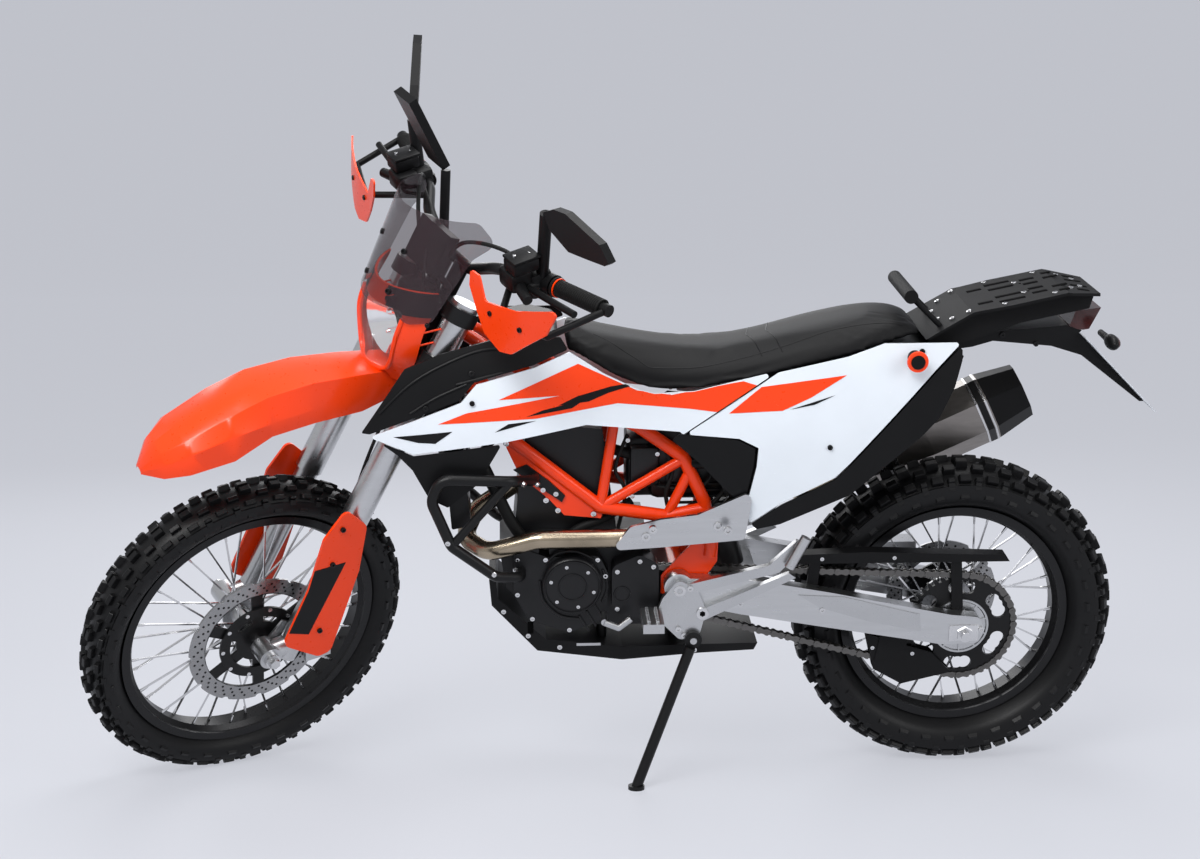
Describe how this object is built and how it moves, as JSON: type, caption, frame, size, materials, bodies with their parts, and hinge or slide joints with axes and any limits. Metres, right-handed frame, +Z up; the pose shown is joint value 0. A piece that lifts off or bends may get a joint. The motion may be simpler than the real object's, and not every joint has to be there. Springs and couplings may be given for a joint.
{
  "type": "dual sport motorcycle",
  "caption": "Tall single-cylinder dual sport motorcycle on its side stand, with trellis frame, knobbly wire wheels, hand guards, crash bars and rear rack.",
  "frame": {"origin": "middle of the overall footprint, on the ground", "axes": "+X forward, +Y to the rider's left, +Z up; the motorcycle leans to its left on its side stand"},
  "size_m": [2.1806, 0.7754, 1.5464],
  "materials": {
    "tyre": "knobbly rubber",
    "black_rim": "anodised black",
    "bright_steel": "bright steel",
    "silver_alloy": "cast and machined silver alloy",
    "chain_steel": "oiled dark steel",
    "black_metal": "satin black paint",
    "frame_orange": "orange powder coat",
    "header_steel": "heat-tinted steel",
    "titanium": "brushed titanium",
    "white_plastic": "gloss white with orange and black slashes",
    "orange_plastic": "gloss orange",
    "black_plastic": "grained black",
    "seat_cover": "black grip cover",
    "grip_rubber": "ribbed rubber",
    "spring_steel": "black spring and damper",
    "clear_lens": "clear lens",
    "smoked_screen": "smoked screen",
    "smoked_lamp": "smoked lamp",
    "blank_plate": "blank plate"
  },
  "bodies": {
    "root": {"chain": "chain_steel", "frame": "frame_orange", "engine_case": "black_metal", "engine_cylinder": "black_metal", "engine_covers": "black_metal", "skid_plate": "black_plastic", "exhaust_header": "header_steel", "heat_shield": "silver_alloy", "silencer": "titanium", "silencer_cap": "black_plastic", "front_panels": "white_plastic", "rear_panels": "white_plastic", "rear_lower_panels": "black_plastic", "shrouds": "black_plastic", "seat": "seat_cover", "number_plate": "blank_plate", "tail_section": "black_plastic", "tail_light": "smoked_lamp", "luggage_rack": "black_metal", "rack_knobs": "black_plastic", "swingarm": "silver_alloy", "rear_axle": "bright_steel", "shock": "spring_steel", "chain_guards": "black_plastic", "rear_caliper": "silver_alloy", "foot_brackets": "silver_alloy", "foot_controls": "silver_alloy", "radiators": "black_metal", "crash_bars": "black_metal"},
    "steering": {"fork_clamps": "black_metal", "fork_tubes": "silver_alloy", "fork_legs": "silver_alloy", "front_axle": "bright_steel", "fork_guards": "orange_plastic", "front_caliper": "silver_alloy", "front_fender": "orange_plastic", "headlight_mask": "orange_plastic", "headlight_lens": "clear_lens", "windscreen": "smoked_screen", "handlebar": "black_metal", "grips": "grip_rubber", "controls": "black_plastic", "handguards": "orange_plastic", "handguard_struts": "black_plastic", "mirrors": "black_plastic", "dash": "black_plastic"},
    "front_wheel": {"front_tyre": "tyre", "front_rim": "black_rim", "front_spokes": "bright_steel", "front_hub": "silver_alloy", "front_disc": "bright_steel"},
    "rear_wheel": {"rear_tyre": "tyre", "rear_rim": "black_rim", "rear_spokes": "bright_steel", "rear_hub": "silver_alloy", "rear_disc": "bright_steel", "sprocket": "black_metal"},
    "side_stand": {"side_stand": "black_metal"}
  },
  "joints": [
    {"name": "steering", "type": "hinge", "parent": "root", "child": "steering", "pos_m": [0.42128, -0.05614, 0.91624], "axis": [-0.4581, 0.1666, 0.8732], "range_deg": [-67.6, 0]},
    {"name": "front_wheel_spin", "type": "hinge", "parent": "steering", "child": "front_wheel", "pos_m": [0.77575, -0.13895, 0.32776], "axis": [-0.4945, 0.7685, -0.406], "continuous": true},
    {"name": "rear_wheel_spin", "type": "hinge", "parent": "root", "child": "rear_wheel", "pos_m": [-0.71848, -0.16651, 0.33763], "axis": [0, 0.9823, -0.1874], "continuous": true},
    {"name": "stand_fold", "type": "hinge", "parent": "root", "child": "side_stand", "pos_m": [-0.15067, -0.01182, 0.31285], "axis": [0, 0.9823, -0.1874], "range_deg": [0, 100]}
  ]
}
